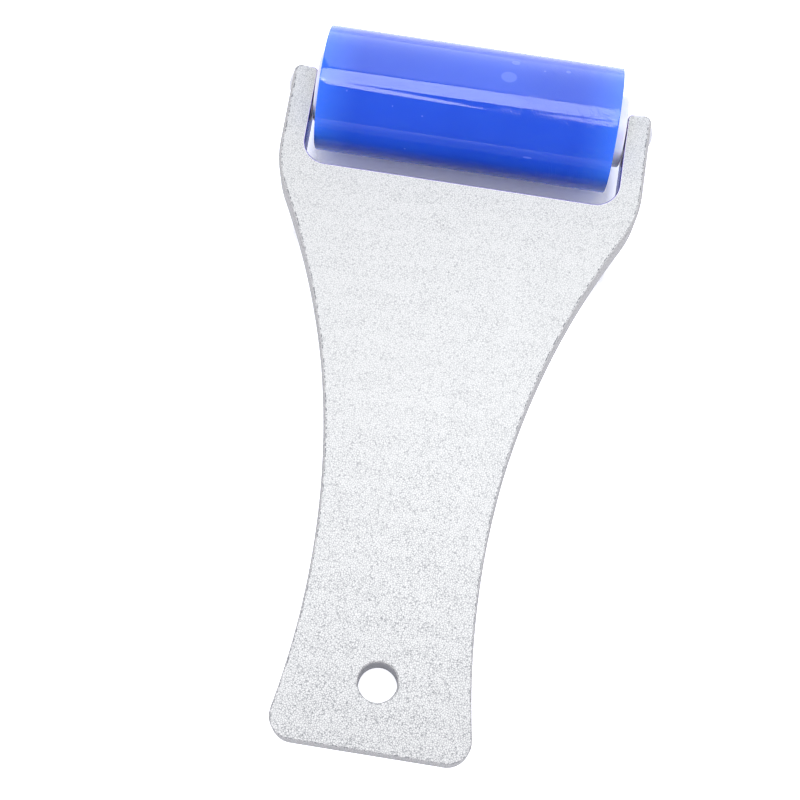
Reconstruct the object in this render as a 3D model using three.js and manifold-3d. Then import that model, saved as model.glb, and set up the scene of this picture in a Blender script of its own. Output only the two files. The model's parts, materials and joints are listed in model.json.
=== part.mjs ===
// Seam roller: a soft sleeve on a plastic core that turns on two shielded ball bearings, carried
// between the ears of a one-piece metal handle plate by an axle rod and two countersunk screws.
//
// Millimetres, +Z up. The tool lies on a table, as it does when it is put down: the sleeve and the
// lower edge of the handle's end touch the plane z = 0. The axle runs along X, the handle reaches
// towards -Y, and the origin is under the middle of the tool. The assemblies below are drawn from
// the middle of the axle line, and the last lines put them in that frame.
import * as THREE from "three";
import { mergeVertices } from "three/addons/utils/BufferGeometryUtils.js";
import Module from "manifold-3d";

const wasm = await Module();
wasm.setup();

// Roller
const SLEEVE_LENGTH = 100;
const SLEEVE_RADIUS = 21.25;
const SLEEVE_EDGE = 0.4;
const SLEEVE_SHIFT = -0.65; // the sleeve is bonded a little left of the core's middle
const BOND_GAP = 0.05;
const CORE_LENGTH = 105.4;
const CORE_RADIUS = 12;
const CORE_EDGE = 0.6;
const CORE_BORE_RADIUS = 7.25;

// Handle plate, in its own plane: X across, Y towards the roller, from the axle line. Its outer
// edge is rounded; the slot's edge is left sharp.
const PLATE_THICKNESS = 12;
const PLATE_EDGE = 1.2;
const EAR_HALF_SPAN = 61.3;
const EAR_TIP = 4.4;
const TIP_SLANT = 0.1; // radians; the ears end a little lower on the slot side
const EAR_OUTER_CORNER = 2.6;
const EAR_INNER_CORNER = 1.6;
const SLOT_HALF_WIDTH = 53.2;
const SLOT_BOTTOM = -30.6;
const SLOT_CORNER = 8;
const SHOULDER_RADIUS = 36.6;
const NECK_HALF_WIDTH = 26.7;
const NECK_Y = -163.6;
const WAIST_RADIUS = 260;
const HANDLE_END = -219.6;
const END_CORNER = 7.2;
const HANG_HOLE_Y = -198.5;
const HANG_HOLE_RADIUS = 6.1;
const HANG_HOLE_CHAMFER = 0.9;

// Axle rod and its screws (M5 raised countersunk heads with a cross recess)
const AXLE_RADIUS = 4;
const AXLE_CHAMFER = 0.4;
const THREAD_RADIUS = 2.5;
const TAPPED_DEPTH = 11;
const DRILL_POINT = 1.4;
const SCREW_LENGTH = 16;
const HEAD_RADIUS = 4.3;
const HEAD_DOME = 1.4;
const HEAD_RIM = 0.3;
const SCREW_TIP_CHAMFER = 0.6;
const RECESS_SPAN = 4.4;
const RECESS_WIDTH = 1;
const RECESS_DEPTH = 2;
const SCREW_CLEARANCE = 0.2;

// Ball bearings, 8 x 19 x 6 mm with seven balls
const BEARING_WIDTH = 6;
const BEARING_RADIUS = 9.5;
const BEARING_CHAMFER = 0.3;
const BEARING_RECESS = 1.5;
const BALL_COUNT = 7;
const BALL_RADIUS = 1.5875;
const PITCH_RADIUS = 6.75;
const INNER_LAND_RADIUS = 5.95;
const OUTER_LAND_RADIUS = 7.75;
const SHIELD_RADIUS = 8.15;
const SHIELD_THICKNESS = 0.3;
const SHIELD_INSET = 0.4;
const CAGE_WIDTH = 4;
const CAGE_WALL = 1;
const GROOVE_CLEARANCE = 0.03;
const POCKET_CLEARANCE = 0.1;
const FIT_GAP = 0.02;

// Facets round the turned parts, and steps along the arcs
const SLEEVE_FACETS = 72;
const CORE_FACETS = 48;
const SHAFT_FACETS = 24;
const RING_FACETS = BALL_COUNT * 5;
const POCKET_FACETS = 12;
const BALL_FACETS = 10;
const BALL_BANDS = 8;
const WAIST_STEPS = 22;
const SHOULDER_STEPS = 7;
const CORNER_STEPS = 6;
const EDGE_STEPS = 3;
const DOME_STEPS = 4;
const GROOVE_STEPS = 5;

// Points closer than this are one point, and a cutter runs this far past what it cuts.
const WELD_DISTANCE = 1e-4;
const CUT_MARGIN = 1;
const QUARTER = Math.PI / 2;

// The handle leans until the round of its lower end edge is level with the underside of the sleeve.
const endReach = -HANDLE_END - PLATE_EDGE;
const endDrop = PLATE_THICKNESS / 2 - PLATE_EDGE;
const HANDLE_LEAN =
  Math.asin((SLEEVE_RADIUS - PLATE_EDGE) / Math.hypot(endReach, endDrop)) - Math.atan2(endDrop, endReach);

// Radius at the corners of a faceted bore whose flats stay clear of a shaft.
const boreRadius = (shaftRadius, gap, facets) => (shaftRadius + gap) / Math.cos(Math.PI / facets);

const finish = (color, roughness, metalness) =>
  new THREE.MeshStandardMaterial({ color, roughness, metalness });
const frostedCoat = finish(0xf0f1f3, 0.6, 0.35);
const blueSilicone = finish(0x3c64f0, 0.18, 0);
const whitePlastic = finish(0xe6e8f6, 0.4, 0);
const turnedSteel = finish(0xa2a4a8, 0.35, 1);
const screwSteel = finish(0xb4b6ba, 0.3, 1);
const shieldSteel = finish(0xb8babd, 0.4, 1);
const bearingSteel = finish(0xc8cacd, 0.2, 1);
const cageSteel = finish(0xa8a49a, 0.4, 1);

// Closed geometry to and from a solid that can be joined and cut.
function toSolid(geometry) {
  const bare = new THREE.BufferGeometry();
  bare.setAttribute("position", geometry.getAttribute("position"));
  bare.setIndex(geometry.index);
  const merged = mergeVertices(bare, WELD_DISTANCE);
  return new wasm.Manifold(
    new wasm.Mesh({
      numProp: 3,
      vertProperties: merged.attributes.position.array,
      triVerts: new Uint32Array(merged.index.array),
    }),
  );
}

function toGeometry(solid) {
  const mesh = solid.getMesh();
  const geometry = new THREE.BufferGeometry();
  geometry.setAttribute("position", new THREE.BufferAttribute(mesh.vertProperties, 3));
  geometry.setIndex(new THREE.BufferAttribute(mesh.triVerts, 1));
  geometry.computeVertexNormals();
  return geometry;
}

function part(name, geometry, material) {
  const mesh = new THREE.Mesh(geometry, material);
  mesh.name = name;
  return mesh;
}

// A body of revolution about X. The outline lists [radius, x] pairs anticlockwise, seen with the
// radius to the right and x upwards.
function turned(outline, facets) {
  const points = outline.map(([radius, x]) => new THREE.Vector2(radius, x));
  return new THREE.LatheGeometry(points, facets).rotateZ(-QUARTER);
}

// A ring about X: the outline closes on itself.
function turnedRing(outline, facets) {
  return turned([...outline, outline[0]], facets);
}

// Points on an arc; angles in radians, and a falling angle runs clockwise.
function arc(centreX, centreY, radius, from, to, steps) {
  const points = [];
  for (let i = 0; i <= steps; i++) {
    const angle = from + ((to - from) * i) / steps;
    points.push([centreX + radius * Math.cos(angle), centreY + radius * Math.sin(angle)]);
  }
  return points;
}

// A shape from the points of its right side, mirrored to the left.
function mirroredShape(rightSide) {
  const leftSide = rightSide.map(([x, y]) => [-x, y]).reverse();
  return new THREE.Shape([...rightSide, ...leftSide].map(([x, y]) => new THREE.Vector2(x, y)));
}

// The height of the slanted line on which an ear ends, at a distance x from the middle.
function tipHeight(x) {
  const cornerX = EAR_HALF_SPAN - EAR_OUTER_CORNER;
  const cornerY = EAR_TIP - EAR_OUTER_CORNER;
  return cornerY + EAR_OUTER_CORNER / Math.cos(TIP_SLANT) - (cornerX - x) * Math.tan(TIP_SLANT);
}

// The outline of the plate's blank, before its slot is cut. Each side is one long concave arc,
// tangent to the rounded end corner below and to the convex shoulder under the ear above.
function blankShape() {
  const waistX = NECK_HALF_WIDTH + WAIST_RADIUS;
  const shoulderX = EAR_HALF_SPAN - SHOULDER_RADIUS;
  const shoulderY = NECK_Y + Math.sqrt((WAIST_RADIUS + SHOULDER_RADIUS) ** 2 - (waistX - shoulderX) ** 2);
  const cornerY = HANDLE_END + END_CORNER;
  const cornerX = waistX - Math.sqrt((WAIST_RADIUS + END_CORNER) ** 2 - (NECK_Y - cornerY) ** 2);
  const cornerTurn = Math.atan2(NECK_Y - cornerY, waistX - cornerX);
  const shoulderTurn = Math.atan2(shoulderY - NECK_Y, shoulderX - waistX);
  const tipX = EAR_HALF_SPAN - EAR_OUTER_CORNER;
  const slotX = SLOT_HALF_WIDTH - CUT_MARGIN;
  return mirroredShape([
    ...arc(cornerX, cornerY, END_CORNER, -QUARTER, cornerTurn, CORNER_STEPS),
    ...arc(waistX, NECK_Y, WAIST_RADIUS, Math.PI + cornerTurn, shoulderTurn, WAIST_STEPS).slice(1, -1),
    ...arc(shoulderX, shoulderY, SHOULDER_RADIUS, shoulderTurn - Math.PI, 0, SHOULDER_STEPS),
    ...arc(tipX, EAR_TIP - EAR_OUTER_CORNER, EAR_OUTER_CORNER, 0, QUARTER + TIP_SLANT, CORNER_STEPS),
    [slotX, tipHeight(slotX)],
  ]);
}

// The slot that leaves the two ears. It opens past their tips, whose inner corners it rounds off.
function slotShape() {
  const cornerX = SLOT_HALF_WIDTH - SLOT_CORNER;
  const mouthX = SLOT_HALF_WIDTH + EAR_INNER_CORNER;
  const mouthY = tipHeight(mouthX) - EAR_INNER_CORNER / Math.cos(TIP_SLANT);
  return mirroredShape([
    [mouthX - EAR_INNER_CORNER * Math.sin(TIP_SLANT), EAR_TIP + CUT_MARGIN],
    ...arc(mouthX, mouthY, EAR_INNER_CORNER, QUARTER + TIP_SLANT, Math.PI, CORNER_STEPS),
    ...arc(cornerX, SLOT_BOTTOM + SLOT_CORNER, SLOT_CORNER, 0, -QUARTER, CORNER_STEPS),
  ]);
}

// The 45 degree cone of a countersunk head, where its rim is at x = 0 and its shank runs towards -x.
function countersink(headRadius, shankRadius) {
  return [
    [shankRadius, -HEAD_RIM - (headRadius - shankRadius)],
    [headRadius, -HEAD_RIM],
  ];
}

// What is cut out of an ear for a screw: a clearance hole and a seat for the head.
function countersunkHole() {
  const head = HEAD_RADIUS + SCREW_CLEARANCE;
  const shank = THREAD_RADIUS + SCREW_CLEARANCE;
  const length = EAR_HALF_SPAN - SLOT_HALF_WIDTH + CUT_MARGIN;
  const outline = [
    [0, -length],
    [shank, -length],
    ...countersink(head, shank),
    [head, CUT_MARGIN],
    [0, CUT_MARGIN],
  ];
  return turned(outline, SHAFT_FACETS);
}

function handlePlate() {
  const half = PLATE_THICKNESS / 2;
  const blank = new THREE.ExtrudeGeometry(blankShape(), {
    depth: PLATE_THICKNESS - 2 * PLATE_EDGE,
    bevelThickness: PLATE_EDGE,
    bevelSize: PLATE_EDGE,
    bevelOffset: -PLATE_EDGE,
    bevelSegments: EDGE_STEPS,
  }).translate(0, 0, PLATE_EDGE - half);
  const slot = new THREE.ExtrudeGeometry(slotShape(), {
    depth: PLATE_THICKNESS + 2 * CUT_MARGIN,
    bevelEnabled: false,
  }).translate(0, 0, -half - CUT_MARGIN);
  const flare = HANG_HOLE_RADIUS + HANG_HOLE_CHAMFER;
  const hangHole = new THREE.LatheGeometry(
    [
      [0, -half - CUT_MARGIN],
      [flare + CUT_MARGIN, -half - CUT_MARGIN],
      [HANG_HOLE_RADIUS, -half + HANG_HOLE_CHAMFER],
      [HANG_HOLE_RADIUS, half - HANG_HOLE_CHAMFER],
      [flare + CUT_MARGIN, half + CUT_MARGIN],
      [0, half + CUT_MARGIN],
    ].map(([radius, z]) => new THREE.Vector2(radius, z)),
    CORE_FACETS,
  )
    .rotateX(QUARTER)
    .translate(0, HANG_HOLE_Y, 0);
  const rightHole = countersunkHole().translate(EAR_HALF_SPAN, 0, 0);
  const leftHole = countersunkHole().rotateY(Math.PI).translate(-EAR_HALF_SPAN, 0, 0);
  const plate = [slot, hangHole, rightHole, leftHole].reduce(
    (solid, cutter) => solid.subtract(toSolid(cutter)),
    toSolid(blank),
  );
  return toGeometry(plate);
}

function axleScrew() {
  const domeSphere = (HEAD_RADIUS ** 2 + HEAD_DOME ** 2) / (2 * HEAD_DOME);
  const domeTurn = Math.asin(HEAD_RADIUS / domeSphere);
  const dome = arc(0, HEAD_DOME - domeSphere, domeSphere, QUARTER - domeTurn, QUARTER, DOME_STEPS);
  const outline = [
    [0, -SCREW_LENGTH],
    [THREAD_RADIUS - SCREW_TIP_CHAMFER, -SCREW_LENGTH],
    [THREAD_RADIUS, -SCREW_LENGTH + SCREW_TIP_CHAMFER],
    ...countersink(HEAD_RADIUS, THREAD_RADIUS),
    ...dome.slice(0, -1),
    [0, HEAD_DOME],
  ];
  const body = toSolid(turned(outline, SHAFT_FACETS));
  const recess = [0, QUARTER].map((turn) =>
    toSolid(
      new THREE.BoxGeometry(RECESS_DEPTH, RECESS_SPAN, RECESS_WIDTH)
        .translate(HEAD_DOME - RECESS_DEPTH / 2, 0, 0)
        .rotateX(turn),
    ),
  );
  return toGeometry(recess.reduce((solid, wing) => solid.subtract(wing), body));
}

function axleRod() {
  const half = SLOT_HALF_WIDTH;
  const tapped = boreRadius(THREAD_RADIUS, FIT_GAP, SHAFT_FACETS);
  const rim = AXLE_RADIUS - AXLE_CHAMFER;
  const rightEnd = [
    [AXLE_RADIUS, half - AXLE_CHAMFER],
    [rim, half],
    [tapped, half],
    [tapped, half - TAPPED_DEPTH],
    [0, half - TAPPED_DEPTH - DRILL_POINT],
  ];
  const leftEnd = rightEnd.map(([radius, x]) => [radius, -x]).reverse();
  return turned([...leftEnd, ...rightEnd], SHAFT_FACETS);
}

// The short tube between an ear and the inner ring beside it.
function spacer() {
  const length = SLOT_HALF_WIDTH - CORE_LENGTH / 2 + BEARING_RECESS;
  const bore = boreRadius(AXLE_RADIUS, FIT_GAP, SHAFT_FACETS);
  const outer = INNER_LAND_RADIUS - FIT_GAP;
  return turnedRing(
    [
      [outer, -length],
      [outer, 0],
      [bore, 0],
      [bore, -length],
    ],
    SHAFT_FACETS,
  );
}

function rollerSleeve() {
  const half = SLEEVE_LENGTH / 2;
  const bore = boreRadius(CORE_RADIUS, BOND_GAP, SLEEVE_FACETS);
  const shoulder = SLEEVE_RADIUS - SLEEVE_EDGE;
  return turnedRing(
    [
      [shoulder, -half],
      [SLEEVE_RADIUS, -half + SLEEVE_EDGE],
      [SLEEVE_RADIUS, half - SLEEVE_EDGE],
      [shoulder, half],
      [bore, half],
      [bore, -half],
    ],
    SLEEVE_FACETS,
  );
}

function rollerCore() {
  const half = CORE_LENGTH / 2;
  const seat = boreRadius(BEARING_RADIUS, FIT_GAP, CORE_FACETS);
  const seatEnd = half - BEARING_RECESS - BEARING_WIDTH;
  const rightEnd = [
    [CORE_RADIUS, half - CORE_EDGE],
    [CORE_RADIUS - CORE_EDGE, half],
    [seat + CORE_EDGE, half],
    [seat, half - CORE_EDGE],
    [seat, seatEnd],
    [CORE_BORE_RADIUS, seatEnd],
  ];
  const leftEnd = rightEnd.map(([radius, x]) => [radius, -x]).reverse();
  return turnedRing([...rightEnd, ...leftEnd], CORE_FACETS);
}

// A ball groove's points from -x to +x, from the land on one side to the land on the other. side is
// +1 for the outer ring and -1 for the inner ring.
function groove(landRadius, side) {
  const radius = BALL_RADIUS + GROOVE_CLEARANCE;
  const turn = Math.acos(Math.abs(landRadius - PITCH_RADIUS) / radius);
  const middle = side > 0 ? 0 : Math.PI;
  return arc(PITCH_RADIUS, 0, radius, middle - side * turn, middle + side * turn, GROOVE_STEPS);
}

function outerRing() {
  const half = BEARING_WIDTH / 2;
  const chamfered = BEARING_RADIUS - BEARING_CHAMFER;
  const ledge = half - SHIELD_INSET - SHIELD_THICKNESS - FIT_GAP;
  const seat = boreRadius(SHIELD_RADIUS, FIT_GAP, RING_FACETS);
  const shrink = Math.cos(Math.PI / RING_FACETS);
  const raceway = groove(OUTER_LAND_RADIUS, 1)
    .map(([radius, x]) => [radius / shrink, x])
    .reverse();
  return turnedRing(
    [
      [chamfered, -half],
      [BEARING_RADIUS, -half + BEARING_CHAMFER],
      [BEARING_RADIUS, half - BEARING_CHAMFER],
      [chamfered, half],
      [seat, half],
      [seat, ledge],
      [OUTER_LAND_RADIUS, ledge],
      ...raceway,
      [OUTER_LAND_RADIUS, -ledge],
      [seat, -ledge],
      [seat, -half],
    ],
    RING_FACETS,
  );
}

function innerRing() {
  const half = BEARING_WIDTH / 2;
  const bore = boreRadius(AXLE_RADIUS, FIT_GAP, RING_FACETS);
  return turnedRing(
    [
      [INNER_LAND_RADIUS, -half],
      ...groove(INNER_LAND_RADIUS, -1),
      [INNER_LAND_RADIUS, half],
      [bore, half],
      [bore, -half],
    ],
    RING_FACETS,
  );
}

function shield() {
  const inner = boreRadius(INNER_LAND_RADIUS, POCKET_CLEARANCE, RING_FACETS);
  return turnedRing(
    [
      [SHIELD_RADIUS, -SHIELD_THICKNESS],
      [SHIELD_RADIUS, 0],
      [inner, 0],
      [inner, -SHIELD_THICKNESS],
    ],
    RING_FACETS,
  );
}

// Places for the balls, evenly round the pitch circle.
const ballAngles = Array.from({ length: BALL_COUNT }, (_, i) => (i * 2 * Math.PI) / BALL_COUNT);
const ballPlace = (angle) => [0, PITCH_RADIUS * Math.cos(angle), PITCH_RADIUS * Math.sin(angle)];

function ballCage() {
  const half = CAGE_WIDTH / 2;
  const outer = PITCH_RADIUS + CAGE_WALL / 2;
  const inner = PITCH_RADIUS - CAGE_WALL / 2;
  const band = turnedRing(
    [
      [outer, -half],
      [outer, half],
      [inner, half],
      [inner, -half],
    ],
    RING_FACETS,
  );
  const pocketRadius = boreRadius(BALL_RADIUS, POCKET_CLEARANCE, POCKET_FACETS);
  const pockets = ballAngles.map((angle) =>
    toSolid(
      new THREE.CylinderGeometry(pocketRadius, pocketRadius, CAGE_WALL + 2 * CUT_MARGIN, POCKET_FACETS)
        .rotateX(angle)
        .translate(...ballPlace(angle)),
    ),
  );
  return toGeometry(pockets.reduce((solid, pocket) => solid.subtract(pocket), toSolid(band)));
}

// One bearing, centred on its own origin; outboard is +1 when its outboard face looks along +x.
function bearing(side, outboard) {
  const name = (piece) => `bearing_${side}_${piece}`;
  const group = new THREE.Group();
  group.add(part(name("outer_ring"), outerRing(), bearingSteel));
  group.add(part(name("inner_ring"), innerRing(), bearingSteel));
  group.add(part(name("cage"), ballCage(), cageSteel));
  for (const [label, facing] of [
    ["outboard_shield", outboard],
    ["inboard_shield", -outboard],
  ]) {
    const disc = part(name(label), shield(), shieldSteel);
    disc.rotation.y = facing > 0 ? 0 : Math.PI;
    disc.position.x = facing * (BEARING_WIDTH / 2 - SHIELD_INSET);
    group.add(disc);
  }
  ballAngles.forEach((angle, i) => {
    const sphere = new THREE.SphereGeometry(BALL_RADIUS, BALL_FACETS, BALL_BANDS);
    const ball = part(name(`ball_${i + 1}`), sphere, bearingSteel);
    ball.position.set(...ballPlace(angle));
    group.add(ball);
  });
  return group;
}

function handleAssembly() {
  const group = new THREE.Group();
  group.rotation.x = HANDLE_LEAN;
  group.add(part("handle_plate", handlePlate(), frostedCoat));
  const rightScrew = part("axle_screw_right", axleScrew(), screwSteel);
  rightScrew.position.x = EAR_HALF_SPAN;
  const leftScrew = part("axle_screw_left", axleScrew(), screwSteel);
  leftScrew.position.x = -EAR_HALF_SPAN;
  leftScrew.rotation.y = Math.PI;
  group.add(rightScrew, leftScrew);
  return group;
}

function axleAssembly() {
  const group = new THREE.Group();
  group.add(part("axle", axleRod(), turnedSteel));
  const rightSpacer = part("spacer_right", spacer(), turnedSteel);
  rightSpacer.position.x = SLOT_HALF_WIDTH;
  const leftSpacer = part("spacer_left", spacer(), turnedSteel);
  leftSpacer.position.x = -SLOT_HALF_WIDTH;
  leftSpacer.rotation.y = Math.PI;
  group.add(rightSpacer, leftSpacer);
  return group;
}

function rollerAssembly() {
  const group = new THREE.Group();
  const bearingX = CORE_LENGTH / 2 - BEARING_RECESS - BEARING_WIDTH / 2;
  const rightBearing = bearing("right", 1);
  rightBearing.position.x = bearingX;
  const leftBearing = bearing("left", -1);
  leftBearing.position.x = -bearingX;
  const sleeve = part("roller_sleeve", rollerSleeve(), blueSilicone);
  sleeve.position.x = SLEEVE_SHIFT;
  group.add(sleeve);
  group.add(part("roller_core", rollerCore(), whitePlastic));
  group.add(rightBearing, leftBearing);
  return group;
}

// How far the handle's end and the sleeve reach along Y from the axle line
const farEnd = -endReach * Math.cos(HANDLE_LEAN) - PLATE_EDGE - endDrop * Math.sin(HANDLE_LEAN);
const nearEnd = SLEEVE_RADIUS;

const seamRoller = new THREE.Group();
seamRoller.name = "seam_roller";
seamRoller.position.set(0, -(nearEnd + farEnd) / 2, SLEEVE_RADIUS);
seamRoller.add(handleAssembly(), axleAssembly(), rollerAssembly());

export default seamRoller;
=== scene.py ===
"""Looks of the seam roller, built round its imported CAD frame: a pebble-coated handle plate, a glossy
translucent blue sleeve on a white core, two shielded ball bearings, an axle rod and its two screws.
"""
import json
import math

import bmesh
import bpy
import numpy as np
from mathutils import Euler, Matrix, Vector, noise

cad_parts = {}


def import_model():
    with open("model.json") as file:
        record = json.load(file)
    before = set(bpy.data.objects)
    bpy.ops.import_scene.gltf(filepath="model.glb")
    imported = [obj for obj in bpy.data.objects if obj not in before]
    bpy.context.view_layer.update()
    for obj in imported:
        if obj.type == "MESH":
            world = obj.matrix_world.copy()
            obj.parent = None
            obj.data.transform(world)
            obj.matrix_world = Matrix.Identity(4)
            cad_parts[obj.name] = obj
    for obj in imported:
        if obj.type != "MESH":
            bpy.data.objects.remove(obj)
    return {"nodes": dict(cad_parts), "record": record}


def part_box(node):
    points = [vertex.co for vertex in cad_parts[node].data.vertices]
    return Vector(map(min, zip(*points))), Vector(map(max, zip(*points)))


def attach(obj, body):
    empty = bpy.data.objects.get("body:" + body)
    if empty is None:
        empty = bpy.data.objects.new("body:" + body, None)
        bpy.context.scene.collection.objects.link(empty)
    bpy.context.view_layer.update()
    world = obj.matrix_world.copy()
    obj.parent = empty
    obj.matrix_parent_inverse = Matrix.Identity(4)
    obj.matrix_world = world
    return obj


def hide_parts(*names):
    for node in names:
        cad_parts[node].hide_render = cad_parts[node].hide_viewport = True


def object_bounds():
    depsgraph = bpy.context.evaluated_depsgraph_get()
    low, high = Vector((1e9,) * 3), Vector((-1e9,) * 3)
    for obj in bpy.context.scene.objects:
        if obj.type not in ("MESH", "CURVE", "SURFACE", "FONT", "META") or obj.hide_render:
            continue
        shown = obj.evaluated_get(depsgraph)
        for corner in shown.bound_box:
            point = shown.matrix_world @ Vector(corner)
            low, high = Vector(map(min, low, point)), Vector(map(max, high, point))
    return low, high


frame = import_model()
CAD_LOW, CAD_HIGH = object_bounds()

MM = 0.001
TAU = 2 * math.pi
QUARTER = math.pi / 2
SIDES = (("left", -1), ("right", 1))


# ---------------------------------------------------------------- sizes, read from the frame

def mount(name):
    """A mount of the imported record, as (point, outward direction)."""
    found = next(m for m in frame["record"]["mounts"] if m["name"] == name)
    return Vector(found["pos_m"]), Vector(found["axis"])


def centre(node):
    low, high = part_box(node)
    return (low + high) / 2


def half_length(node):
    low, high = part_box(node)
    return (high.x - low.x) / 2


def outer_radius(node):
    low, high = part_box(node)
    return (high.y - low.y) / 2


# Pieces are drawn from the middle of the axle line, and place() moves them to it.
AXLE = centre("axle")


def span(node):
    """A node's lowest and highest x."""
    low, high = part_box(node)
    return low.x, high.x


# The plate's own axes: x across, y towards the roller, z out of its upper face.
UPPER_POINT, UPPER_NORMAL = mount("hang_face_upper")
LEAN = math.atan2(-UPPER_NORMAL.y, UPPER_NORMAL.z)
PLATE_HALF = (UPPER_POINT - AXLE).dot(UPPER_NORMAL)
END_POINT, END_NORMAL = mount("handle_end_face")
HANDLE_END = -(END_POINT - AXLE).dot(END_NORMAL)
EAR_SPAN = half_length("handle_plate")

AXLE_RADIUS = outer_radius("axle")
SLOT_HALF = half_length("axle")
SLEEVE_HALF = half_length("roller_sleeve")
SLEEVE_RADIUS = outer_radius("roller_sleeve")
SLEEVE_X = centre("roller_sleeve").x
CORE_HALF = half_length("roller_core")
CORE_RADIUS = outer_radius("roller_core")
HEAD_RADIUS = outer_radius("axle_screw_right")
SCREW_TIP, SCREW_TOP = span("axle_screw_right")
SCREW_CROWN = SCREW_TOP - EAR_SPAN
BEARING_HALF = half_length("bearing_right_outer_ring")
BEARING_X = centre("bearing_right_outer_ring").x
BEARING_RADIUS = outer_radius("bearing_right_outer_ring")
BALL_RADIUS = half_length("bearing_right_ball_1")

# The gap left between pieces that seat on one another
FIT = 0.02 * MM

# The plate's outline, which a box can't give
EAR_TIP = 4.4 * MM
TIP_SLANT = 0.1
EAR_OUTER_CORNER = 2.6 * MM
EAR_INNER_CORNER = 1.6 * MM
SLOT_BOTTOM = -30.6 * MM
SLOT_CORNER = 8 * MM
SHOULDER_RADIUS = 36.6 * MM
NECK_HALF = 26.7 * MM
NECK_Y = -163.6 * MM
WAIST_RADIUS = 260 * MM
END_CORNER = 7.2 * MM
HANG_HOLE_Y = -198.5 * MM
HANG_HOLE_RADIUS = 6.1 * MM
HANG_HOLE_EDGE = 0.5 * MM
# Radius of the plate's cast edge: by the ears, and at the handle's end above and below
EAR_EDGE = 1.1 * MM
END_EDGE_UPPER = 0.3 * MM
END_EDGE_LOWER = 1.15 * MM
# Where that radius starts to change, and how much of it is gone at an ear's tip
EDGE_TAPER_START = 3 * SLOT_BOTTOM
TIP_EDGE_LOSS = 0.5


# ---------------------------------------------------------------- mesh helpers

def new_object(name, mesh):
    piece = bpy.data.objects.new(name, mesh)
    bpy.context.scene.collection.objects.link(piece)
    return piece


def mesh_from(name, vertices, faces):
    mesh = bpy.data.meshes.new(name)
    mesh.from_pydata([tuple(v) for v in vertices], [], faces)
    mesh.validate()
    return mesh


def smooth(mesh, angle=35):
    """Smooth shading, with edges sharper than angle (degrees) kept crisp."""
    mesh.polygons.foreach_set("use_smooth", [True] * len(mesh.polygons))
    mesh.set_sharp_from_angle(angle=math.radians(angle))


def arc(cx, cy, radius, start, end, spacing):
    """Points along an arc, at most spacing apart; a falling angle runs clockwise."""
    steps = max(2, math.ceil(abs(end - start) * radius / spacing))
    angles = [start + (end - start) * i / steps for i in range(steps + 1)]
    return [(cx + radius * math.cos(a), cy + radius * math.sin(a)) for a in angles]


def filleted(corners, steps=5):
    """A closed outline with its corners rounded. Each corner is (radius, x) or (radius, x, fillet)."""
    points = []
    count = len(corners)
    for i, corner in enumerate(corners):
        here = Vector(corner[:2])
        fillet = corner[2] if len(corner) > 2 else 0
        if not fillet:
            points.append(tuple(here))
            continue
        before = (Vector(corners[i - 1][:2]) - here).normalized()
        after = (Vector(corners[(i + 1) % count][:2]) - here).normalized()
        half_angle = before.angle(after) / 2
        reach = fillet / math.tan(half_angle)
        hub = here + (before + after).normalized() * (fillet / math.sin(half_angle))
        first = here + before * reach - hub
        last = here + after * reach - hub
        turn = math.atan2(first.cross(last), first.dot(last))
        for k in range(steps + 1):
            points.append(tuple(hub + Matrix.Rotation(turn * k / steps, 2) @ first))
    return points


def turned(name, outline, segments, closed=True):
    """A body of revolution about X. The outline lists (radius, x) anticlockwise with radius to the
    right; an open outline starts and ends on the axis."""
    vertices, rings = [], []
    for radius, x in outline:
        if radius < 1e-9:
            rings.append([len(vertices)])
            vertices.append((x, 0, 0))
            continue
        rings.append(list(range(len(vertices), len(vertices) + segments)))
        for s in range(segments):
            angle = TAU * s / segments
            vertices.append((x, radius * math.cos(angle), radius * math.sin(angle)))
    pairs = list(zip(rings, rings[1:]))
    if closed:
        pairs.append((rings[-1], rings[0]))
    faces = []
    for a, b in pairs:
        for s in range(segments):
            t = (s + 1) % segments
            if len(a) == 1:
                faces.append((a[0], b[t], b[s]))
            elif len(b) == 1:
                faces.append((a[s], a[t], b[0]))
            else:
                faces.append((a[s], a[t], b[t], b[s]))
    return mesh_from(name, vertices, faces)


def cut(piece, cutters):
    """Takes the cutters out of a piece, and the cutters out of the scene."""
    for cutter in cutters:
        tool = piece.modifiers.new("cut", "BOOLEAN")
        tool.operation = "DIFFERENCE"
        tool.solver = "EXACT"
        tool.object = cutter
    bpy.context.view_layer.update()
    shown = piece.evaluated_get(bpy.context.evaluated_depsgraph_get())
    finished = bpy.data.meshes.new_from_object(shown)
    piece.modifiers.clear()
    piece.data = finished
    for cutter in cutters:
        bpy.data.objects.remove(cutter)


def place(piece, node, material):
    """Puts a finished piece in place of a CAD node, on that node's body."""
    piece.data.transform(Matrix.Translation(AXLE))
    piece.data.materials.clear()
    piece.data.materials.append(material)
    body = next(b for b, nodes in frame["record"]["behaviour"]["bodies"].items() if node in nodes)
    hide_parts(node)
    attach(piece, body)


# ---------------------------------------------------------------- material helpers

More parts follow.
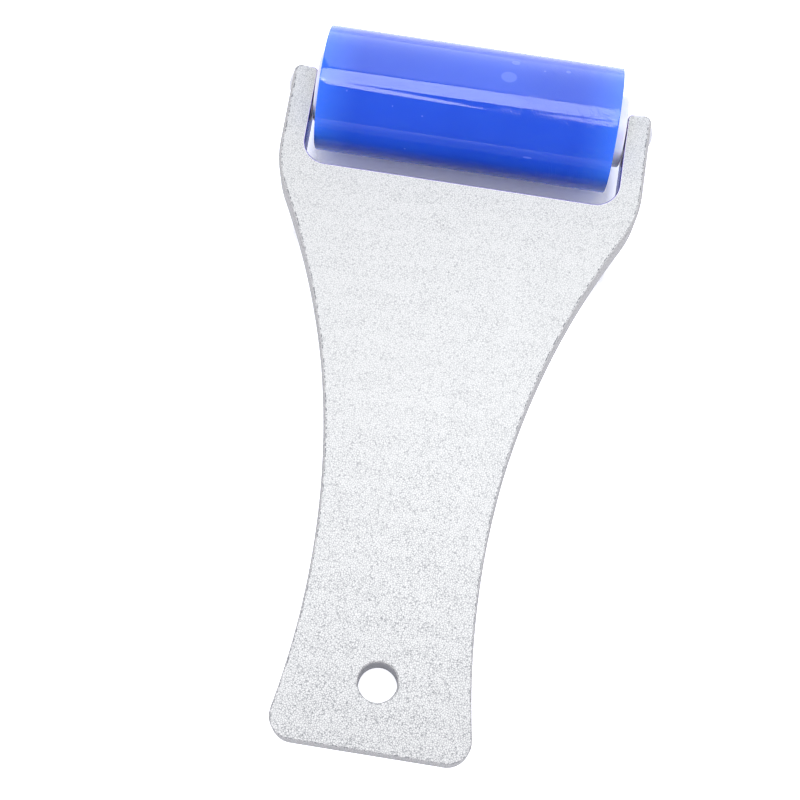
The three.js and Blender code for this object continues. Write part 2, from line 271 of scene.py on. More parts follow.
class Nodes:
    """A new material's node tree, with short calls to add and link nodes."""

    def __init__(self, name):
        self.material = bpy.data.materials.new(name)
        self.material.use_nodes = True
        self.tree = self.material.node_tree
        self.shader = self.tree.nodes["Principled BSDF"]
        self.object_space = self.add("ShaderNodeTexCoord").outputs["Object"]

    def add(self, kind, **inputs):
        node = self.tree.nodes.new(kind)
        for key, value in inputs.items():
            self.feed(node.inputs[key.replace("_", " ")], value)
        return node

    def feed(self, socket, value):
        if isinstance(value, bpy.types.NodeSocket):
            self.tree.links.new(value, socket)
        else:
            socket.default_value = value

    def noise(self, scale, detail=2.0, roughness=0.5, vector=None):
        node = self.add("ShaderNodeTexNoise", Scale=scale, Detail=detail, Roughness=roughness)
        self.feed(node.inputs["Vector"], vector or self.object_space)
        return node.outputs["Fac"]

    def cells(self, scale):
        """Distance from the nearest border of a pattern of irregular cells."""
        node = self.add("ShaderNodeTexVoronoi", Scale=scale)
        node.feature = "DISTANCE_TO_EDGE"
        self.feed(node.inputs["Vector"], self.object_space)
        return node.outputs["Distance"]

    def scaled(self, x, y, z):
        """Object coordinates stretched by a factor on each axis."""
        node = self.add("ShaderNodeMapping")
        node.inputs["Scale"].default_value = (x, y, z)
        self.feed(node.inputs["Vector"], self.object_space)
        return node.outputs["Vector"]

    def attribute(self, name):
        node = self.add("ShaderNodeAttribute")
        node.attribute_name = name
        return node.outputs["Fac"]

    def math(self, operation, a, b=0.0):
        node = self.add("ShaderNodeMath")
        node.operation = operation
        self.feed(node.inputs[0], a)
        self.feed(node.inputs[1], b)
        return node.outputs[0]

    def span(self, value, low, high, to_low=0.0, to_high=1.0):
        """value, taken from low..high to to_low..to_high, and clamped."""
        node = self.add("ShaderNodeMapRange")
        for socket, number in zip(node.inputs[:5], (value, low, high, to_low, to_high)):
            self.feed(socket, number)
        return node.outputs["Result"]

    def mix(self, factor, a, b):
        node = self.add("ShaderNodeMix")
        node.data_type = "RGBA"
        self.feed(node.inputs[0], factor)
        self.feed(node.inputs[6], a)
        self.feed(node.inputs[7], b)
        return node.outputs[2]

    def bump(self, height, strength, distance, normal=None):
        node = self.add("ShaderNodeBump", Strength=strength, Distance=distance)
        self.feed(node.inputs["Height"], height)
        if normal:
            self.feed(node.inputs["Normal"], normal)
        return node.outputs["Normal"]

    def finish(self, **inputs):
        for key, value in inputs.items():
            self.feed(self.shader.inputs[key.replace("_", " ")], value)
        return self.material


def grey(value):
    return (value, value, value, 1)


# ---------------------------------------------------------------- materials

def frosted_coat():
    """Silver-white coat with a fine pebble whose pits are darkened with painted shade, more towards
    the handle's end, and thin dark flecks along its rims. Machined faces are bare, and carry painted
    shade inside and round the slot, with a painted violet reflection of the blue roller."""
    n = Nodes("frosted_coat")
    axes = n.add("ShaderNodeSeparateXYZ")
    n.feed(axes.inputs[0], n.object_space)
    pale = (0.50, 0.49, 0.485, 1)
    pit_shade = (0.18, 0.182, 0.19, 1)
    fleck = (0.12, 0.12, 0.135, 1)
    bright_metal = (0.55, 0.55, 0.57, 1)
    # Painted shade with a painted violet reflection of the blue roller, for the bare metal round the
    # slot
    shade_and_blue_reflection = (0.10, 0.07, 0.24, 1)
    towards_end = n.span(axes.outputs["Y"], AXLE.y - 100 * MM, END_POINT.y)
    rim = n.attribute("rim")
    bare = n.attribute("bare")
    dark = n.attribute("dark")
    pebble = n.cells(1500)
    grain = n.noise(2600, 1, 0.5)
    cloud = n.span(n.noise(60, 3), 0.35, 0.65)
    # Darkening the pits paints their shade into the colour.
    pits = n.span(n.math("ADD", pebble, n.math("MULTIPLY", grain, 0.3)), 0.12, 0.30, 1.0, 0.0)
    # Strength of that painted shade: more towards the handle's end, where it stands for grazing light,
    # and varying at random.
    depth = n.math("ADD", n.math("MULTIPLY", towards_end, 0.45), n.math("MULTIPLY", cloud, 0.1))
    pit_shading = n.math("MULTIPLY", pits, n.math("ADD", depth, 0.62))
    light = n.mix(pit_shading, pale, pit_shade)
    gaps = n.span(n.noise(950, 2), 0.42, 0.58, 0.45, 1.1)
    line = n.span(n.math("SUBTRACT", rim, gaps), 0.0, 0.25)
    lined = n.mix(line, light, fleck)
    # Bare metal, turned to painted shade and reflection where the dark attribute is high
    metal = n.mix(dark, bright_metal, shade_and_blue_reflection)
    colour = n.mix(bare, lined, metal)
    rough = n.mix(bare, n.mix(pits, grey(0.5), grey(0.62)), grey(0.24))
    metallic = n.span(bare, 0.0, 1.0, 0.2, 0.95)
    normal = n.bump(pits, n.span(bare, 0.0, 1.0, -0.6, 0.0), 0.07 * MM)
    return n.finish(Base_Color=colour, Metallic=metallic, Roughness=rough, Normal=normal)


def blue_silicone():
    """Glossy translucent blue rubber: paler where light enters its ends, with faint waves, small
    flat bubbles, and fine slanting scratches on part of its skin."""
    n = Nodes("blue_silicone")
    axes = n.add("ShaderNodeSeparateXYZ")
    n.feed(axes.inputs[0], n.object_space)
    deep = (0.018, 0.082, 0.60, 1)
    clear = (0.023, 0.098, 0.66, 1)
    lit_end = (0.06, 0.21, 0.84, 1)
    milky = (0.13, 0.22, 0.80, 1)
    from_middle = n.math("ABSOLUTE", n.math("SUBTRACT", axes.outputs["X"], SLEEVE_X))
    end_glow = n.math("POWER", n.span(from_middle, SLEEVE_HALF - 14 * MM, SLEEVE_HALF), 1.4)
    body = n.mix(n.span(n.noise(30, 2), 0.3, 0.7), deep, clear)
    tint = n.mix(n.math("MULTIPLY", end_glow, 0.8), body, lit_end)
    bubbles = bubble_marks(n)
    blemished = n.mix(n.math("MULTIPLY", bubbles, 0.6), tint, milky)
    streaks = n.noise(260, 3, 0.6, n.scaled(0.12, 1, 1))
    scratch_slant = math.radians(35)
    scratch_stretch = 20
    slant = n.add("ShaderNodeMapping")
    slant.vector_type = "TEXTURE"
    slant.inputs["Rotation"].default_value = (0, 0, scratch_slant)
    slant.inputs["Scale"].default_value = (1, scratch_stretch, scratch_stretch)
    n.feed(slant.inputs["Vector"], n.object_space)
    scratch = n.span(n.noise(2400, 2, 0.6, slant.outputs["Vector"]), 0.54, 0.62)
    rubbed_side = n.span(axes.outputs["X"], SLEEVE_X + 8 * MM, SLEEVE_X + 20 * MM)
    rubbed = n.math("MULTIPLY", rubbed_side, n.span(n.noise(38, 1.5), 0.35, 0.5))
    worn = n.math("MULTIPLY", scratch, rubbed)
    rough = n.math("ADD", n.span(streaks, 0.4, 0.7, 0.03, 0.08), n.math("MULTIPLY", bubbles, 0.2))
    waves = n.bump(n.noise(75, 1), 0.10, 0.06 * MM)
    normal = n.bump(worn, 1.0, 0.02 * MM, waves)
    n.finish(Base_Color=blemished, Roughness=rough, IOR=1.41, Normal=normal)
    n.finish(Subsurface_Weight=0.75, Subsurface_Scale=5 * MM)
    n.shader.inputs["Subsurface Radius"].default_value = (0.12, 0.3, 1.0)
    return n.material


# Flat bubbles in the sleeve's skin: distance along the sleeve from its middle, degrees round the
# axle from +Y up over the top, half length and half width
BUBBLES = (
    (11.9 * MM, 85, 2.75 * MM, 2.2 * MM),
    (13.5 * MM, 66, 1.5 * MM, 1.2 * MM),
    (23.4 * MM, 72, 0.4 * MM, 0.4 * MM),
    (31.2 * MM, 68, 0.85 * MM, 0.7 * MM),
    (-40.4 * MM, 120.5, 0.32 * MM, 0.32 * MM),
    (-24.7 * MM, 128, 0.25 * MM, 0.35 * MM),
    (-14.5 * MM, 133, 0.35 * MM, 0.3 * MM),
    (-19 * MM, 170, 0.35 * MM, 0.3 * MM),
    (22 * MM, 158, 1.6 * MM, 0.4 * MM),
)


def bubble_marks(n):
    """1 inside any of the bubbles, 0 outside, with a soft rim."""
    total = 0.0
    for along, angle, half_long, half_wide in BUBBLES:
        turn = math.radians(angle)
        middle = AXLE + Vector((SLEEVE_X + along, 0, 0))
        middle += Vector((0, math.cos(turn), math.sin(turn))) * SLEEVE_RADIUS
        away = n.add("ShaderNodeVectorMath")
        away.operation = "SUBTRACT"
        n.feed(away.inputs[0], n.object_space)
        away.inputs[1].default_value = middle
        squeezed = n.add("ShaderNodeVectorMath")
        squeezed.operation = "DIVIDE"
        n.feed(squeezed.inputs[0], away.outputs["Vector"])
        squeezed.inputs[1].default_value = (half_long, half_wide, half_wide)
        size = n.add("ShaderNodeVectorMath")
        size.operation = "LENGTH"
        n.feed(size.inputs[0], squeezed.outputs["Vector"])
        inside = n.span(size.outputs["Value"], 0.85, 1.05, 1.0, 0.0)
        total = n.math("MAXIMUM", total, inside)
    return total


def white_plastic():
    n = Nodes("white_plastic")
    flow = n.noise(220, 3, 0.55, n.scaled(0.4, 1, 1))
    colour = n.mix(flow, (0.76, 0.78, 0.88, 1), (0.83, 0.84, 0.92, 1))
    rough = n.span(n.noise(900, 2), 0.3, 0.7, 0.3, 0.45)
    normal = n.bump(n.noise(1400, 2), 0.15, 0.02 * MM)
    n.finish(Base_Color=colour, Roughness=rough, Normal=normal)
    return n.finish(Subsurface_Weight=0.3, Subsurface_Scale=2 * MM)


def turned_steel(name, dark, pale, roughness):
    """Metal with fine tool marks round the X axis."""
    n = Nodes(name)
    rings = n.noise(2600, 3, 0.6, n.scaled(6, 0.15, 0.15))
    stain = n.noise(300, 4)
    colour = n.mix(rings, dark, pale)
    rough = n.math("ADD", n.span(stain, 0.3, 0.7, -0.06, 0.08), roughness)
    normal = n.bump(rings, 0.2, 0.01 * MM)
    return n.finish(Base_Color=colour, Metallic=1.0, Roughness=rough, Normal=normal)


def plated_steel(name, dark, pale, roughness):
    """Plated or pressed metal with a fine random grain and slight stains."""
    n = Nodes(name)
    grain = n.noise(3200, 3, 0.6)
    stain = n.noise(260, 4)
    colour = n.mix(stain, dark, pale)
    rough = n.math("ADD", n.span(grain, 0.3, 0.7, -0.05, 0.07), roughness)
    normal = n.bump(grain, 0.12, 0.012 * MM)
    return n.finish(Base_Color=colour, Metallic=1.0, Roughness=rough, Normal=normal)


COAT = frosted_coat()
SILICONE = blue_silicone()
PLASTIC = white_plastic()
TURNED = turned_steel("turned_steel", (0.42, 0.42, 0.44, 1), (0.66, 0.66, 0.68, 1), 0.3)
BEARING = turned_steel("bearing_steel", (0.6, 0.6, 0.62, 1), (0.78, 0.78, 0.8, 1), 0.16)
SCREW = plated_steel("screw_steel", (0.5, 0.5, 0.52, 1), (0.74, 0.74, 0.76, 1), 0.26)
SHIELD = plated_steel("shield_steel", (0.55, 0.55, 0.57, 1), (0.72, 0.72, 0.74, 1), 0.34)
CAGE = plated_steel("cage_steel", (0.42, 0.39, 0.34, 1), (0.58, 0.54, 0.48, 1), 0.42)


# ---------------------------------------------------------------- handle plate

def plate_outline():
    """The plate's outline in its own plane, finely spaced: its points, and for each one a number
    from 0 on the cast edge to 1 on the machined slot."""
    waist_x = NECK_HALF + WAIST_RADIUS
    shoulder_x = EAR_SPAN - SHOULDER_RADIUS
    reach = WAIST_RADIUS + SHOULDER_RADIUS
    shoulder_y = NECK_Y + math.sqrt(reach ** 2 - (waist_x - shoulder_x) ** 2)
    corner_y = HANDLE_END + END_CORNER
    corner_x = waist_x - math.sqrt((WAIST_RADIUS + END_CORNER) ** 2 - (NECK_Y - corner_y) ** 2)
    corner_turn = math.atan2(NECK_Y - corner_y, waist_x - corner_x)
    shoulder_turn = math.atan2(shoulder_y - NECK_Y, shoulder_x - waist_x)
    fine, coarse = 0.5 * MM, 1.2 * MM
    outer_x = EAR_SPAN - EAR_OUTER_CORNER
    outer_y = EAR_TIP - EAR_OUTER_CORNER
    inner_x = SLOT_HALF + EAR_INNER_CORNER
    inner_y = outer_y - (outer_x - inner_x) * math.tan(TIP_SLANT)
    inner_y += (EAR_OUTER_CORNER - EAR_INNER_CORNER) / math.cos(TIP_SLANT)
    tip_turn = QUARTER + TIP_SLANT
    cast = arc(corner_x, corner_y, END_CORNER, -QUARTER, corner_turn, fine)
    cast += arc(waist_x, NECK_Y, WAIST_RADIUS, math.pi + corner_turn, shoulder_turn, coarse)[1:-1]
    cast += arc(shoulder_x, shoulder_y, SHOULDER_RADIUS, shoulder_turn - math.pi, 0, coarse)
    cast += arc(outer_x, outer_y, EAR_OUTER_CORNER, 0, tip_turn, fine)
    milled = arc(inner_x, inner_y, EAR_INNER_CORNER, tip_turn, math.pi, fine)
    milled += arc(SLOT_HALF - SLOT_CORNER, SLOT_BOTTOM + SLOT_CORNER, SLOT_CORNER, 0, -QUARTER, fine)
    right = [Vector((x, y, 0)) for x, y in cast] + [Vector((x, y, 1)) for x, y in milled]
    whole = right + [Vector((-v.x, v.y, v.z)) for v in reversed(right)]
    spaced = []
    for a, b in zip(whole, whole[1:] + whole[:1]):
        steps = max(1, math.ceil((b - a).xy.length / coarse))
        spaced += [a.lerp(b, i / steps) for i in range(steps)]
    return [v.xy for v in spaced], [v.z for v in spaced]


def hang_hole():
    """The hang hole's points, clockwise, in the same form as the outline."""
    count = 96
    angles = [-TAU * i / count for i in range(count)]
    middle = Vector((0, HANG_HOLE_Y))
    points = [middle + Vector((math.cos(a), math.sin(a))) * HANG_HOLE_RADIUS for a in angles]
    return points, [0.0] * len(points)


def outward(loop):
    """Unit directions that point away from the material, one per point of a loop."""
    result = []
    for i in range(len(loop)):
        along = (loop[(i + 1) % len(loop)] - loop[i - 1]).normalized()
        result.append(Vector((along.y, -along.x)))
    return result


# Rings down an edge, as shares of its quarter turn, and how strongly each carries the rim line where
# the edge is cast. The flat rings come first, further in by the given distance.
FLAT_RINGS = ((0.7 * MM, 0.0), (0.25 * MM, 0.2))
ROUND_RINGS = ((0, 1.0), (0.12, 0.6), (0.25, 0.0), (0.45, 0.0), (0.65, 0.0), (0.85, 0.0), (1, 0.0))
MILLED_EDGE = 0.25 * MM
# How far a cast edge wanders, and over what length
WANDER = 0.11 * MM
WANDER_LENGTH = 3 * MM
# How strongly the rim line shows round the hang hole, and how much painted shade its bare wall gets
HOLE_RIM = 0.95
HOLE_WALL_SHADE = 0.12


def cast_edge(point, side):
    """The radius of the plate's cast edge at a point of its outline. Towards the handle's end the
    upper edge gets nearly sharp, and both edges shrink at the ears' tips."""
    end_edge = END_EDGE_UPPER if side > 0 else END_EDGE_LOWER
    along = min(max((EDGE_TAPER_START - point.y) / (EDGE_TAPER_START - HANDLE_END), 0), 1)
    tip_loss = min(max(point.y / EAR_TIP, 0), 1) * TIP_EDGE_LOSS
    return (EAR_EDGE + (end_edge - EAR_EDGE) * along ** 1.5) * (1 - tip_loss)


def hole_edge(_point, _side):
    return HANG_HOLE_EDGE


def plate_wall(form, points, milled, edge_at, rim_strength, wall_shade):
    """Adds a wall to the plate's mesh, from its upper face round and down to its lower face. A cast
    edge is rounded and wanders a little; a milled one is only broken, and it and its wall get painted
    shade with a painted violet reflection of the blue roller. Given a shade above 0, the wall is bare
    metal, with more painted shade the higher that is. Returns the end rings."""
    rim_layer = form.verts.layers.float["rim"]
    bare_layer = form.verts.layers.float["bare"]
    painted_shade_layer = form.verts.layers.float["dark"]
    levels = [(0, gap, rim) for gap, rim in FLAT_RINGS]
    levels += [(QUARTER * share, 0, rim) for share, rim in ROUND_RINGS]
    upper = [(turn, gap, rim, 1) for turn, gap, rim in levels]
    lower = [(turn, gap, rim, -1) for turn, gap, rim in reversed(levels)]
    rings = []
    for turn, gap, rim, side in upper + lower:
        ring = []
        for point, away, share in zip(points, outward(points), milled):
            cast = edge_at(point, side)
            edge = cast + (MILLED_EDGE - cast) * share
            seed = Vector((point.x, point.y, 0)) / WANDER_LENGTH + Vector((0, 0, side))
            wander = min(WANDER, 0.3 * edge) * noise.noise(seed) * math.cos(turn) * (1 - share)
            here = point - away * (edge * (1 - math.sin(turn)) + gap + wander)
            v = form.verts.new((here.x, here.y, side * (PLATE_HALF - edge * (1 - math.cos(turn)))))
            on_wall = turn == QUARTER
            machined = 0.0 if gap else share
            v[rim_layer] = rim * rim_strength * (1 - share)
            v[bare_layer] = max(machined, 1.0 if wall_shade and on_wall else 0.0)
            # Painted shade and reflection: full on the milled slot's edge and wall, the given shade on
            # a bare wall
            v[painted_shade_layer] = max(machined, wall_shade if on_wall else 0.0)
            ring.append(v)
        rings.append(ring)
    for above, below in zip(rings, rings[1:]):
        for i in range(len(points)):
            j = (i + 1) % len(points)
            form.faces.new((above[i], below[i], below[j], above[j]))
    return rings[0], rings[-1]


def handle_plate():
    form = bmesh.new()
    form.verts.layers.float.new("rim")
    form.verts.layers.float.new("bare")
    form.verts.layers.float.new("dark")
    ends = [
        plate_wall(form, *plate_outline(), cast_edge, 1.0, 0.0),
        plate_wall(form, *hang_hole(), hole_edge, HOLE_RIM, HOLE_WALL_SHADE),
    ]
    for loops in zip(*ends):
        rims = [form.edges.get((a, b)) for loop in loops for a, b in zip(loop, loop[1:] + loop[:1])]
        bmesh.ops.triangle_fill(form, use_beauty=True, use_dissolve=False, edges=rims)
    bmesh.ops.recalc_face_normals(form, faces=form.faces)
    mesh = bpy.data.meshes.new("handle_plate_coated")
    form.to_mesh(mesh)
    form.free()
    piece = new_object("handle_plate_coated", mesh)
    cut(piece, [countersink(side) for _, side in SIDES])
    piece.data.transform(Matrix.Rotation(LEAN, 4, "X"))
    smooth(piece.data)
    place(piece, "handle_plate", COAT)


def countersink(side):
    """The screw's hole through an ear: a clearance bore with a cone for the head."""
    head = HEAD_RADIUS + 0.2 * MM
    bore = 2.7 * MM
    rim = 0.3 * MM
    start = SLOT_HALF - 2 * MM
    stop = EAR_SPAN + 2 * MM
    outline = [
        (0, start),
        (bore, start),
        (bore, EAR_SPAN - rim - (head - bore)),
        (head, EAR_SPAN - rim),
        (head, stop),
        (0, stop),
    ]
    cutter = new_object("countersink", turned("countersink", outline, 64, closed=False))
    cutter.data.transform(Matrix.Rotation(math.pi if side < 0 else 0, 4, "Z"))
    return cutter


# ---------------------------------------------------------------- roller

def roller_sleeve():
    """A cast tube with crisp ends, whose skin is not quite even."""
    bore = CORE_RADIUS + 2 * FIT
    edge = 0.35 * MM
    unevenness = 0.018 * MM
    swell_length = 16 * MM
    stations = list(np.linspace(-SLEEVE_HALF + edge, SLEEVE_HALF - edge, 49))
    steps = 5
    turns = [QUARTER * k / steps for k in range(steps + 1)]
    corner = [
        (SLEEVE_RADIUS - edge + edge * math.sin(turn), -SLEEVE_HALF + edge - edge * math.cos(turn))
        for turn in turns
    ]
    skin = corner + [(SLEEVE_RADIUS, x) for x in stations[1:-1]]
    skin += [(radius, -x) for radius, x in reversed(corner)]
    outline = skin + [(bore, SLEEVE_HALF), (bore, -SLEEVE_HALF)]
    mesh = turned("roller_sleeve_cast", outline, 320)
    for v in mesh.vertices:
        radius = math.hypot(v.co.y, v.co.z)
        if radius > SLEEVE_RADIUS - edge:
            swell = unevenness * (noise.noise(v.co / swell_length) - 0.5)
            v.co.y *= 1 + swell / radius
            v.co.z *= 1 + swell / radius
    mesh.transform(Matrix.Translation((SLEEVE_X, 0, 0)))
    smooth(mesh)
    place(new_object("roller_sleeve_cast", mesh), "roller_sleeve", SILICONE)


def roller_core():
    seat = BEARING_RADIUS + FIT
    shoulder = BEARING_X - BEARING_HALF
    throat = 7.25 * MM
    outer_round = 0.7 * MM
    mouth_round = 0.5 * MM
    throat_round = 0.3 * MM
    corners = [
        (CORE_RADIUS, CORE_HALF, outer_round),
        (seat, CORE_HALF, mouth_round),
        (seat, shoulder),
        (throat, shoulder, throat_round),
        (throat, -shoulder, throat_round),
        (seat, -shoulder),
        (seat, -CORE_HALF, mouth_round),
        (CORE_RADIUS, -CORE_HALF, outer_round),
    ]
    mesh = turned("roller_core_moulded", filleted(corners), 128)
    smooth(mesh)
    place(new_object("roller_core_moulded", mesh), "roller_core", PLASTIC)


# ---------------------------------------------------------------- axle and screws

def axle_rod():
    edge = 0.4 * MM
    tapped = 2.53 * MM
    depth = 11 * MM
    point = 1.4 * MM
    lead_in = 0.3 * MM
    right = [
        (AXLE_RADIUS, SLOT_HALF - edge),
        (AXLE_RADIUS - edge, SLOT_HALF),
        (tapped + lead_in, SLOT_HALF),
        (tapped, SLOT_HALF - lead_in),
        (tapped, SLOT_HALF - depth),
        (0, SLOT_HALF - depth - point),
    ]
    left = [(radius, -x) for radius, x in reversed(right)]
    mesh = turned("axle_rod", left + right, 64, closed=False)
    smooth(mesh)
    place(new_object("axle_rod", mesh), "axle", TURNED)


def spacer(side_name):
    node = f"spacer_{side_name}"
    low, high = span(node)
    bore = AXLE_RADIUS + FIT
    rim = 0.15 * MM
    corners = [
        (outer_radius(node), low, rim),
        (outer_radius(node), high, rim),
        (bore, high, rim),
        (bore, low, rim),
    ]
    mesh = turned(f"{node}_sleeve", filleted(corners, 3), 64)
    smooth(mesh)
    place(new_object(f"{node}_sleeve", mesh), node, TURNED)


def recess_wing(turn):
    """One wing of the cross recess, shorter and narrower at its foot than at its mouth."""
    depth = 2.3 * MM
    reach = 4.4 * MM
    width = 1.0 * MM
    foot_reach = 0.45 * reach
    foot_width = 0.67 * width
    mouth = EAR_SPAN + SCREW_CROWN + 0.1 * MM
    form = bmesh.new()
    bmesh.ops.create_cube(form, size=1)
    for v in form.verts:
        at_mouth = v.co.x > 0
        v.co.x = mouth - depth * (0.5 - v.co.x)
        v.co.y *= reach if at_mouth else foot_reach
        v.co.z *= width if at_mouth else foot_width
    bmesh.ops.rotate(form, verts=form.verts, cent=(0, 0, 0), matrix=Matrix.Rotation(turn, 3, "X"))
    mesh = bpy.data.meshes.new("recess")
    form.to_mesh(mesh)
    form.free()
    return new_object("recess", mesh)


def axle_screw(side_name, side):
    """A raised countersunk screw with a cross recess, its head just proud of the ear."""
    shank = 2.5 * MM
    rim = 0.3 * MM
    tip_chamfer = 0.6 * MM
    recess_turn = 0.5
    sphere = (HEAD_RADIUS ** 2 + SCREW_CROWN ** 2) / (2 * SCREW_CROWN)
    half_turn = math.asin(HEAD_RADIUS / sphere)
    hub = EAR_SPAN + SCREW_CROWN - sphere
    dome = arc(0, hub, sphere, QUARTER - half_turn, QUARTER, 0.35 * MM)
    dome = [(max(radius, 0.0), x) for radius, x in dome[:-1]] + [(0, EAR_SPAN + SCREW_CROWN)]
    outline = [
        (0, SCREW_TIP),
        (shank - tip_chamfer, SCREW_TIP),
        (shank, SCREW_TIP + tip_chamfer),
        (shank, EAR_SPAN - rim - (HEAD_RADIUS - shank)),
        (HEAD_RADIUS - 0.05 * MM, EAR_SPAN - rim),
        (HEAD_RADIUS, EAR_SPAN - rim / 2),
        *dome,
    ]
    node = f"axle_screw_{side_name}"
    piece = new_object(f"{node}_head", turned(node, outline, 72, closed=False))
    cut(piece, [recess_wing(turn) for turn in (recess_turn, recess_turn + QUARTER)])
    if side < 0:
        piece.data.transform(Matrix.Rotation(math.pi, 4, "Z"))
    smooth(piece.data, 30)
    place(piece, node, SCREW)


# ---------------------------------------------------------------- ball bearings

PITCH_RADIUS = (centre("bearing_right_ball_1") - AXLE).yz.length
INNER_LAND = outer_radius("bearing_right_inner_ring")
OUTER_LAND = 7.75 * MM
GROOVE_RADIUS = BALL_RADIUS + 0.03 * MM
RING_SEGMENTS = 84


def raceway(land, outward_side):
    """Points of a ball groove, from -x to +x, where it leaves and meets a land of that radius."""
    turn = math.acos(abs(land - PITCH_RADIUS) / GROOVE_RADIUS)
    middle = 0 if outward_side else math.pi
    sign = 1 if outward_side else -1
    return arc(PITCH_RADIUS, 0, GROOVE_RADIUS, middle - sign * turn, middle + sign * turn, 0.25 * MM)


def outer_ring(node, x):
    seat = outer_radius("bearing_right_outboard_shield") + FIT
    half = BEARING_HALF
    ledge = half - 0.72 * MM
    rim = 0.3 * MM
    corners = [
        (BEARING_RADIUS, -half, rim),
        (BEARING_RADIUS, half, rim),
        (seat, half),
        (seat, ledge),
        (OUTER_LAND, ledge),
        *reversed(raceway(OUTER_LAND, True)),
        (OUTER_LAND, -ledge),
        (seat, -ledge),
        (seat, -half),
    ]
    mesh = turned(f"{node}_ground", filleted(corners, 4), RING_SEGMENTS)
    finish_ring(mesh, node, x)


def inner_ring(node, x):
    bore = AXLE_RADIUS + FIT
    half = BEARING_HALF
    rim = 0.2 * MM
    corners = [
        (bore, -half, rim),
        (INNER_LAND, -half, rim),
        *raceway(INNER_LAND, False),
        (INNER_LAND, half, rim),
        (bore, half, rim),
    ]
    mesh = turned(f"{node}_ground", filleted(corners, 3), RING_SEGMENTS)
    finish_ring(mesh, node, x)


def shield(node):
    """A pressed disc with a shallow dish and a rolled inner lip."""
    x = centre(node).x
    half = half_length(node)
    faces_right = x > BEARING_X or -BEARING_X < x < 0
    outer = outer_radius(node)
    inner = INNER_LAND + 0.12 * MM
    dish = 0.08 * MM
    outer_round = 0.08 * MM
    inner_round = 0.06 * MM
    corners = [
        (outer, -half, outer_round),
        (outer, half, outer_round),
        (outer - 0.5 * MM, half),
        (outer - 0.75 * MM, half - dish),
        (inner + 0.35 * MM, half - dish),
        (inner + 0.15 * MM, half),
        (inner, half, inner_round),
        (inner, -half, inner_round),
    ]
    mesh = turned(f"{node}_pressed", filleted(corners, 3), RING_SEGMENTS)
    if not faces_right:
        mesh.transform(Matrix.Rotation(math.pi, 4, "Z"))
    smooth(mesh)
    mesh.transform(Matrix.Translation((x, 0, 0)))
    place(new_object(mesh.name, mesh), node, SHIELD)


def finish_ring(mesh, node, x):
    smooth(mesh)
    mesh.transform(Matrix.Translation((x, 0, 0)))
    place(new_object(mesh.name, mesh), node, BEARING)


def ball(node):
    mesh = bpy.data.meshes.new(f"{node}_ground")
    form = bmesh.new()
    bmesh.ops.create_icosphere(form, subdivisions=4, radius=BALL_RADIUS)
    form.to_mesh(mesh)
    form.free()
    mesh.transform(Matrix.Translation(centre(node) - AXLE))
    smooth(mesh)
    place(new_object(mesh.name, mesh), node, BEARING)


def ball_cage(node, ball_nodes, x):
    """A band with a round pocket for each ball."""
    half = half_length(node)
    half_wall = 0.5 * MM
    rim = 0.15 * MM
    play = 0.1 * MM
    inner = PITCH_RADIUS - half_wall
    outer = PITCH_RADIUS + half_wall
    corners = [
        (outer, -half, rim),
        (outer, half, rim),
        (inner, half, rim),
        (inner, -half, rim),
    ]
    piece = new_object(f"{node}_band", turned(f"{node}_band", filleted(corners, 2), 140))
    piece.data.transform(Matrix.Translation((x, 0, 0)))
    pockets = []
    for ball_node in ball_nodes:
        form = bmesh.new()
        bmesh.ops.create_uvsphere(form, u_segments=40, v_segments=24, radius=BALL_RADIUS + play)
        bmesh.ops.translate(form, verts=form.verts, vec=centre(ball_node) - AXLE)
        mesh = bpy.data.meshes.new("pocket")
        form.to_mesh(mesh)
        form.free()
        pockets.append(new_object("pocket", mesh))
    cut(piece, pockets)
    smooth(piece.data)
    place(piece, node, CAGE)


def bearing(side_name, side):
    name = f"bearing_{side_name}_"
    balls = [n for n in frame["nodes"] if n.startswith(name + "ball_")]
    x = side * BEARING_X
    outer_ring(name + "outer_ring", x)
    inner_ring(name + "inner_ring", x)
    ball_cage(name + "cage", balls, x)
    for part in ("outboard_shield", "inboard_shield"):
        shield(name + part)
    for node in balls:
        ball(node)


handle_plate()
roller_sleeve()
roller_core()
axle_rod()
for side_name, side in SIDES:
    spacer(side_name)
    axle_screw(side_name, side)
    bearing(side_name, side)


# ---------------------------------------------------------------- floor, light and camera

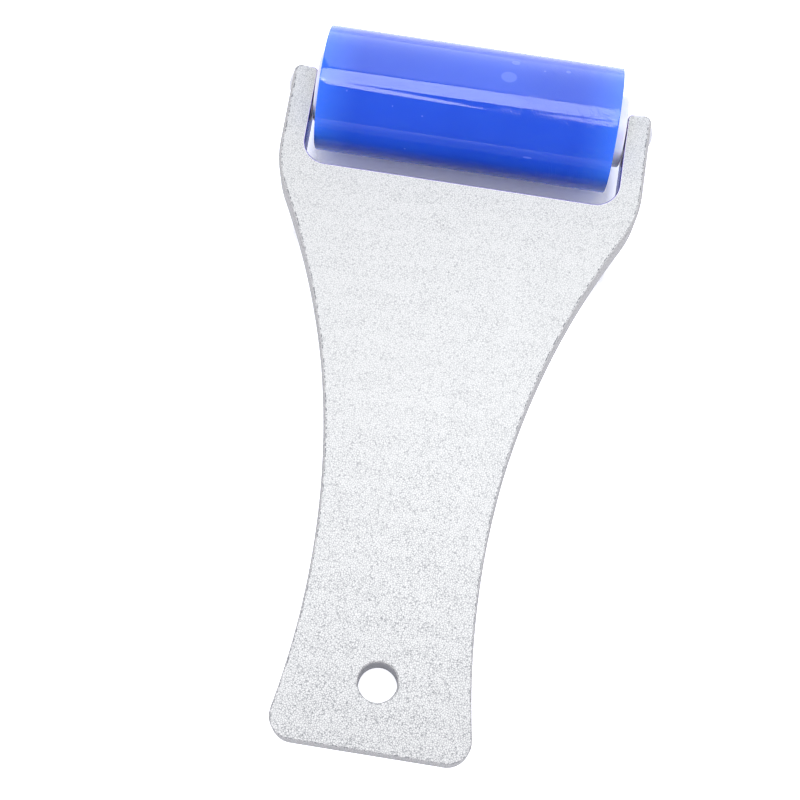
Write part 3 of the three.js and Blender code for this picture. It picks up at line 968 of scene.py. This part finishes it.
def floor():
    """A pale table top. To the camera it glows white all round the tool, which hides the shadows
    there, and stays shaded only under the slot. Its mirror image glows behind the roller. It isn't
    drawn from below, so the underside can be seen."""
    half = 4.0
    z = CAD_LOW.z
    corners = [(-half, -half, z), (half, -half, z), (half, half, z), (-half, half, z)]
    table = new_object("floor", mesh_from("floor", corners, [(0, 1, 2, 3)]))
    n = Nodes("floor")
    shaded_glow = 0.08
    open_glow = 0.9
    mirrored_share = 0.8
    tone = n.mix(n.noise(6, 3), (0.86, 0.86, 0.87, 1), (0.88, 0.88, 0.89, 1))
    axes = n.add("ShaderNodeSeparateXYZ")
    n.feed(axes.inputs[0], n.object_space)
    beside = n.span(n.math("ABSOLUTE", axes.outputs["X"]), SLOT_HALF - 2 * MM, SLOT_HALF + 6 * MM)
    before = n.span(axes.outputs["Y"], AXLE.y - 60 * MM, AXLE.y - 40 * MM, 1.0, 0.0)
    behind_slot = n.span(axes.outputs["Y"], AXLE.y + SLEEVE_RADIUS, AXLE.y + 2 * SLEEVE_RADIUS)
    open_floor = n.math("MAXIMUM", n.math("MAXIMUM", beside, before), behind_slot)
    path = n.add("ShaderNodeLightPath")
    seen = n.math("MULTIPLY", open_floor, path.outputs["Is Camera Ray"])
    mirrored = n.math("MULTIPLY", behind_slot, path.outputs["Is Glossy Ray"])
    lit = n.math("ADD", seen, n.math("MULTIPLY", mirrored, mirrored_share))
    glow = n.span(lit, 0.0, 1.0, shaded_glow, open_glow)
    n.finish(Base_Color=tone, Roughness=0.6, Emission_Color=(0.93, 0.94, 1, 1), Emission_Strength=glow)
    clear = n.add("ShaderNodeBsdfTransparent")
    behind = n.add("ShaderNodeNewGeometry").outputs["Backfacing"]
    blend = n.add("ShaderNodeMixShader")
    n.feed(blend.inputs[0], behind)
    n.feed(blend.inputs[1], n.shader.outputs[0])
    n.feed(blend.inputs[2], clear.outputs[0])
    n.feed(n.tree.nodes["Material Output"].inputs["Surface"], blend.outputs[0])
    table.data.materials.append(n.material)


def reflector(name, offset, size, power, tilt=0, shape="RECTANGLE", colour=(1, 1, 1)):
    """A panel at an offset from the roller, facing it, turned by tilt degrees in its own plane. It is
    there for its reflection only; the even light comes from the surround."""
    data = bpy.data.lights.new(name, "AREA")
    data.shape = shape
    data.size, data.size_y = size
    data.energy = power
    data.color = colour
    lamp = bpy.data.objects.new(name, data)
    lamp.location = AXLE + Vector(offset)
    facing = (-Vector(offset)).to_track_quat("-Z", "Y")
    lamp.rotation_euler = (facing @ Euler((0, 0, math.radians(tilt))).to_quaternion()).to_euler()
    lamp.visible_camera = False
    lamp.visible_diffuse = False
    bpy.context.scene.collection.objects.link(lamp)


def world():
    """An even white surround. It is dimmer where it is seen or mirrored than where it lights a
    surface, so glossy surfaces keep their contrast."""
    seen_strength = 0.3
    light_strength = 1.38
    surround = bpy.data.worlds.new("studio")
    bpy.context.scene.world = surround
    surround.use_nodes = True
    tree = surround.node_tree
    sky = tree.nodes["Background"]
    sky.inputs["Color"].default_value = (0.93, 0.94, 1.0, 1)
    path = tree.nodes.new("ShaderNodeLightPath")
    strength = tree.nodes.new("ShaderNodeMapRange")
    strength.inputs["To Min"].default_value = seen_strength
    strength.inputs["To Max"].default_value = light_strength
    tree.links.new(path.outputs["Is Diffuse Ray"], strength.inputs["Value"])
    tree.links.new(strength.outputs["Result"], sky.inputs["Strength"])


def studio():
    world()
    reflector("strip_box", (0, -0.0535, 0.75), (0.7, 0.283), 6.0, tilt=12.4, colour=(0.95, 1, 1))
    reflector("streak_left", (-0.12, -0.275, 0.75), (0.30, 0.08), 0.6, tilt=-17, shape="ELLIPSE")
    reflector("streak_right", (0.15, -0.25, 0.75), (0.22, 0.14), 0.7, tilt=-4, shape="ELLIPSE")
    reflector("back_box", (0, 0.6452, 0.4731), (0.7, 1.558), 11.2, tilt=14, colour=(0.93, 1, 1))
    reflector("low_strip", (0, -1.5, 0.0), (2.0, 0.03), 0.4)


def camera():
    """The camera looks down on the upper face from the handle's end, turned a little in its frame."""
    azimuth, elevation, roll = (math.radians(a) for a in (4.85, 69.03, 4.35))
    distance = 0.5566
    aim = AXLE + Vector((-0.00733, -0.10906, 0))
    level = math.cos(elevation)
    back = Vector((math.sin(azimuth) * level, -math.cos(azimuth) * level, math.sin(elevation)))
    data = bpy.data.cameras.new("camera")
    data.sensor_width = 36
    data.lens = 78.36
    view = bpy.data.objects.new("camera", data)
    view.rotation_mode = "QUATERNION"
    view.location = aim + back * distance
    view.rotation_quaternion = (-back).to_track_quat("-Z", "Y") @ Euler((0, 0, roll)).to_quaternion()
    bpy.context.scene.collection.objects.link(view)
    bpy.context.scene.camera = view


floor()
studio()
camera()
bpy.context.scene.view_settings.view_transform = "Standard"
